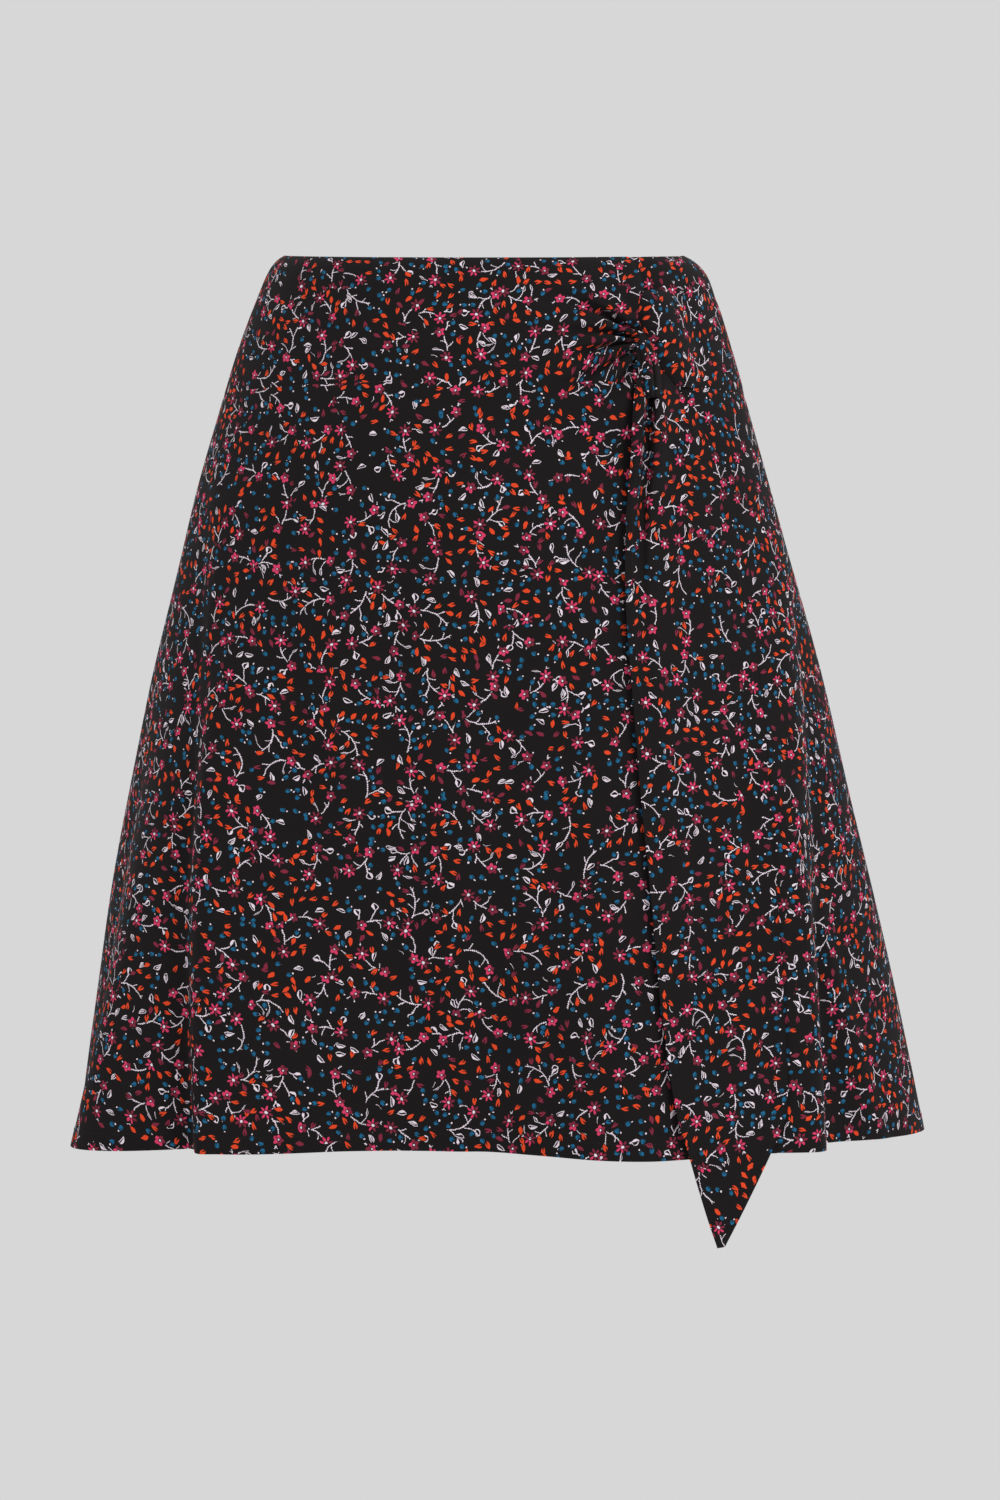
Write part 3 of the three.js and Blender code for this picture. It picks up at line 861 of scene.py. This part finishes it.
def floral_print():
    tree = bpy.data.node_groups.new("Small floral print", "ShaderNodeTree")
    tree.interface.new_socket("Cloth", in_out="INPUT", socket_type="NodeSocketVector")
    tree.interface.new_socket("Colour", in_out="OUTPUT", socket_type="NodeSocketColor")
    exact = add(tree, "NodeGroupInput").outputs[0]
    hand = add(tree, "ShaderNodeTexNoise", {"Vector": exact, "Scale": 0.36, "Detail": 1.0}).outputs[1]
    wobble = add(tree, "ShaderNodeVectorMath", {0: hand, 1: (0.5, 0.5, 0.5)}, operation="SUBTRACT")
    place = add(
        tree, "ShaderNodeVectorMath", {0: wobble.outputs[0], 1: (1.5, 1.5, 0.0), 2: exact},
        operation="MULTIPLY_ADD",
    ).outputs[0]

    spray = spray_at(tree, place)
    spray = sums(tree, STEM_AND_TWIGS + FLOWER, **spray)

    small, (pick, way, vary) = cells(tree, place, SMALL_CELL, 0.8)
    beside = spray_at(tree, small)
    asked = ("first", "out", "along", "reach", "there", "bend", "flip", "turn")
    known = {name: beside[name] for name in asked}
    choice = sums(tree, SMALL_MOTIF + """
away = along / bend + sign(out) * 0.75 + (way - 0.5) * 1.6
aim = turn - flip * away
""", pick=pick, way=way, **known)
    x, y = seen_from(tree, small, choice["aim"], place)
    motif = sums(tree, LEAF_OR_BUD + """
is_orange = kind < 0.47 and free
is_pink = kind > 0.4 and kind < 0.47
is_pale = kind > 0.47 and kind < 0.515 and free
is_bud = kind > 0.515 and kind < 0.75 and free
halo = orange_clear * is_orange + pale_clear * is_pale + bud_clear * is_bud + dot * is_bud
orange_ink = orange * is_orange
pale_ink = pale * is_pale + dot * is_bud
blue_ink = bud * is_bud
shaded = y > 0.35
""", x=x, y=y, vary=vary, kind=choice["kind"], free=choice["free"])

    ground, pale = colour(GROUND), colour(PALE)
    blues = paint(tree, [colour(BLUE), (motif["shaded"], colour(BLUE_DARK))])
    leaves = paint(tree, [colour(ORANGE), (motif["is_pink"], colour(CRIMSON))])
    pinks = paint(tree, [colour(CRIMSON), (spray["lit"], colour(PINK))])
    ink = paint(tree, [
        ground, (spray["stems"], pale), (spray["sprouts"], pale), (motif["halo"], ground),
        (motif["orange_ink"], leaves), (motif["pale_ink"], pale), (motif["blue_ink"], blues),
        (spray["clear"], ground), (spray["petal"], pinks), (spray["eye"], pale),
    ])
    add(tree, "NodeGroupOutput", {0: ink})
    print("print: nodes", len(tree.nodes))
    return tree


PRINT = floral_print()

# %% [markdown]
# ## Viscose
# Plain-woven viscose is soft and dull: a fine thread that barely shows, no gloss, and a faint sheen
# where the surface turns away. The threads are about a third of a millimetre apart, too fine to
# show, so the weave is drawn at a little under a millimetre, only in the bump. The wrong side shows
# the same print, faded, because the ink doesn't soak through.

# %% The cloth's materials
THREAD = 0.8  # millimetres; the real threads are about 0.35 mm apart
WAVE_PERIOD = 0.31  # the length of one wave of the Wave Texture at scale 1


def viscose(name, fade):
    """Printed viscose. `fade` says how much of the ground colour veils the print."""
    material = bpy.data.materials.new(name)
    material.use_nodes = True
    tree = material.node_tree
    tree.nodes.clear()
    flat = add(tree, "ShaderNodeUVMap", uv_map="Flat cloth")
    place = add(tree, "ShaderNodeVectorMath", {0: flat.outputs[0], "Scale": 1 / MM}, operation="SCALE")
    place = place.outputs[0]
    printed = add(tree, "ShaderNodeGroup", node_tree=PRINT)
    tree.links.new(place, printed.inputs[0])
    ink = paint(tree, [printed.outputs[0], (fade, colour(VEIL))]) if fade else printed.outputs[0]
    cloud = add(tree, "ShaderNodeTexNoise", {"Vector": place, "Scale": 0.03, "Detail": 3.0})
    worn = sums(tree, "worn = cloud * 0.16 + 0.92", cloud=cloud.outputs[0])["worn"]
    shade = add(tree, "ShaderNodeMix", {0: 1.0, 6: ink, 7: worn}, data_type="RGBA", blend_type="MULTIPLY")
    threads = [
        add(tree, "ShaderNodeTexWave", {"Vector": place, "Scale": WAVE_PERIOD / THREAD, "Distortion": 0.6},
            bands_direction=way).outputs[1]
        for way in "XY"
    ]
    fibre = add(tree, "ShaderNodeTexNoise", {"Vector": place, "Scale": 0.9, "Detail": 4.0}).outputs[0]
    weave = sums(tree, "weave = warp * 0.3 + weft * 0.3 + fibre * 0.9",
                 warp=threads[0], weft=threads[1], fibre=fibre)["weave"]
    bump = add(tree, "ShaderNodeBump", {"Height": weave, "Strength": 0.35, "Distance": 0.15 * MM})
    cloth = add(
        tree, "ShaderNodeBsdfPrincipled",
        {
            "Base Color": shade.outputs[2], "Roughness": 0.85, "IOR": 1.46, "Specular IOR Level": 0.12,
            "Sheen Weight": 0.02, "Sheen Roughness": 0.5, "Normal": bump.outputs[0],
        },
    )
    add(tree, "ShaderNodeOutputMaterial", {0: cloth.outputs[0]})
    return material


FACE = viscose("printed viscose, right side", 0.0)
REVERSE = viscose("printed viscose, wrong side", 0.55)
for made in PIECES.values():
    made.data.materials.append(FACE)
    made.data.materials.append(REVERSE)

# %% [markdown]
# ## Stitches
# The hem, and the edges of the tail, are turned under and sewn down with one row of dark thread. A
# row is the same stitch over and over, so a small Geometry Nodes tree makes it: it walks along a
# line drawn on the cloth, drops a stitch at every step, turns it to follow the line, and joins them
# all. The thread is as dark as the ground, so it shows only as a fine dotted row in raking light.
# Every panel's row stays a piece of its own, so that it can be named with the sheet it is sewn to.

# %% The thread, and a tree that sews a row
STITCH_STEP, STITCH_LENGTH, THREAD_WIDTH = 3.0 * MM, 2.3 * MM, 0.42 * MM

THREAD_MATERIAL = bpy.data.materials.new("spun polyester thread, black")  # dull, a little fuzzy
THREAD_MATERIAL.use_nodes = True
thread_tree = THREAD_MATERIAL.node_tree
twist = add(thread_tree, "ShaderNodeTexNoise", {"Scale": 900.0, "Detail": 2.0})
twist_bump = add(
    thread_tree, "ShaderNodeBump",
    {"Height": twist.outputs[0], "Strength": 0.4, "Distance": 0.1 * MM},
)
thread_shader = thread_tree.nodes["Principled BSDF"]
thread_tree.links.new(twist_bump.outputs[0], thread_shader.inputs["Normal"])
thread_shader.inputs["Base Color"].default_value = colour("#1b1819")
thread_shader.inputs["Roughness"].default_value = 0.7
thread_shader.inputs["Specular IOR Level"].default_value = 0.3


def stitch_tree():
    tree = bpy.data.node_groups.new("Row of stitches", "GeometryNodeTree")
    tree.interface.new_socket("Line", in_out="INPUT", socket_type="NodeSocketGeometry")
    for name in ("Step", "Length", "Width"):
        tree.interface.new_socket(name, in_out="INPUT", socket_type="NodeSocketFloat")
    tree.interface.new_socket("Stitches", in_out="OUTPUT", socket_type="NodeSocketGeometry")
    given = add(tree, "NodeGroupInput").outputs
    line = add(tree, "GeometryNodeMeshToCurve", {"Mesh": given["Line"]}).outputs[0]
    even = add(tree, "GeometryNodeResampleCurve", {"Curve": line, "Length": given["Step"]}, mode="LENGTH")
    half = add(tree, "ShaderNodeMath", {0: given["Width"], 1: 0.5}, operation="MULTIPLY").outputs[0]
    ball = {"Segments": 6, "Rings": 5, "Radius": half}
    stitch = add(tree, "GeometryNodeMeshUVSphere", ball).outputs[0]
    stretch = add(tree, "ShaderNodeMath", {0: given["Length"], 1: given["Width"]}, operation="DIVIDE")
    size = add(tree, "ShaderNodeCombineXYZ", {"X": 1.0, "Y": 1.0, "Z": stretch.outputs[0]})
    tangent = add(tree, "GeometryNodeInputTangent").outputs[0]
    turn = add(tree, "FunctionNodeAlignRotationToVector", {"Vector": tangent}, axis="Z").outputs[0]
    row = add(
        tree, "GeometryNodeInstanceOnPoints",
        {"Points": even.outputs[0], "Instance": stitch, "Rotation": turn, "Scale": size.outputs[0]},
    )
    real = add(tree, "GeometryNodeRealizeInstances", {0: row.outputs[0]})
    done = add(tree, "GeometryNodeSetMaterial", {"Geometry": real.outputs[0], "Material": THREAD_MATERIAL})
    add(tree, "NodeGroupOutput", {0: done.outputs[0]})
    return tree


STITCHES = stitch_tree()
STITCH_INPUTS = {
    item.name: item.identifier
    for item in STITCHES.interface.items_tree
    if item.in_out == "INPUT"
}


def sew(name, lines):
    """Sews a row of stitches along each line of points, all as one piece."""
    points = np.concatenate(lines)
    starts = np.cumsum([0] + [len(line) for line in lines])
    edges = [(i, i + 1) for a, b in zip(starts, starts[1:]) for i in range(a, b - 1)]
    mesh = bpy.data.meshes.new(name)
    mesh.from_pydata(points.tolist(), edges, [])
    made = bpy.data.objects.new(name, mesh)
    bpy.context.collection.objects.link(made)
    modifier = made.modifiers.new("row of stitches", "NODES")
    modifier.node_group = STITCHES
    for label, value in (("Step", STITCH_STEP), ("Length", STITCH_LENGTH), ("Width", THREAD_WIDTH)):
        modifier[STITCH_INPUTS[label]] = value
    ready = made.evaluated_get(bpy.context.evaluated_depsgraph_get())
    made_mesh = bpy.data.meshes.new_from_object(ready)
    made.modifiers.remove(modifier)
    made.data = made_mesh
    made_mesh.shade_smooth()
    print(name, "triangles:", sum(len(p.vertices) - 2 for p in made_mesh.polygons))
    return made


# %% Sew the hems and the edges of the tail
HEM_ROW = 10 * MM  # the row lies this far above the hem
ROW_INSET = 4  # columns of the tail's grid from its edge to the row
ROW_SPAN = slice(30, -3)  # rows of that grid: from below the knot to just above its slanted end
SEWN = {}
for name in ("back_panel", "front_under_panel", "front_over_panel"):
    face = FACES[name]
    row = round((1 - HEM_ROW / (HEM - YOKE_DEPTH)) * (len(face) - 1))
    SEWN[name] = sew("stitches_" + name, [face[row]])
face = FACES["tie_tail"]
edges = [face[ROW_SPAN, ROW_INSET], face[ROW_SPAN, -1 - ROW_INSET]]
SEWN["tie_tail"] = sew("stitches_tie_tail", edges)

# %% [markdown]
# ## Fasten every piece to the frame
# Each sheet rides on the skirt's one body and takes the place of its wall, which is hidden. The rows
# of stitches ride on the same body.

# %% Rides and walls
for name, made in PIECES.items():
    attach(made, "root")
    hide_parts(name)
for made in SEWN.values():
    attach(made, "root")

# %% [markdown]
# ## Stage, light and camera
# A pale floor well below the hem, an even pale surround, and two broad lamps in front. The camera
# stands level with the middle of the skirt, far enough away that the sides hardly close in.

# %% The stage
FLOOR = -0.95  # well below the tail's tip
FLOOR_RADIUS = 0.95
bpy.ops.mesh.primitive_circle_add(
    vertices=96, radius=FLOOR_RADIUS, fill_type="NGON", location=(0, 0, FLOOR)
)
floor = bpy.context.active_object
floor.name = "floor"
paper = bpy.data.materials.new("pale paper")
paper.use_nodes = True
paper.node_tree.nodes["Principled BSDF"].inputs["Base Color"].default_value = colour("#d9d9d9")
paper.node_tree.nodes["Principled BSDF"].inputs["Roughness"].default_value = 0.9
floor.data.materials.append(paper)

scene = bpy.context.scene
scene.view_settings.view_transform = "Standard"
world = bpy.data.worlds.new("pale surround")
scene.world = world
world.use_nodes = True
world.node_tree.nodes["Background"].inputs["Color"].default_value = colour("#d7d7d7")
world.node_tree.nodes["Background"].inputs["Strength"].default_value = 1.0


def lamp(name, place, target, size, power):
    """A broad square lamp that points at a place on the skirt."""
    data = bpy.data.lights.new(name, "AREA")
    data.size = size
    data.energy = power
    made = bpy.data.objects.new(name, data)
    made.location = place
    aim = np.array(target) - np.array(place)
    made.rotation_euler = (
        math.acos(-aim[2] / np.linalg.norm(aim)), 0.0, math.atan2(aim[0], -aim[1]) + math.pi
    )
    scene.collection.objects.link(made)


lamp("key", (1.5, -1.7, 0.7), (0.0, 0.0, -0.25), 0.7, 14.0)
lamp("fill", (-1.5, -2.0, 0.5), (0.0, 0.0, -0.3), 1.4, 4.0)

# %% The camera
VIEW_DISTANCE = 2.5
VIEW_CENTRE = (8.7 * MM, -306.3 * MM)  # across and up
VIEW_LENS, SENSOR = 96.8, 36.0  # mm, on the camera
data = bpy.data.cameras.new("camera")
data.lens = VIEW_LENS
data.sensor_width = SENSOR
camera = bpy.data.objects.new("camera", data)
camera.location = (VIEW_CENTRE[0], -VIEW_DISTANCE, VIEW_CENTRE[1])
camera.rotation_euler = (math.pi / 2, 0.0, 0.0)
scene.collection.objects.link(camera)
scene.camera = camera
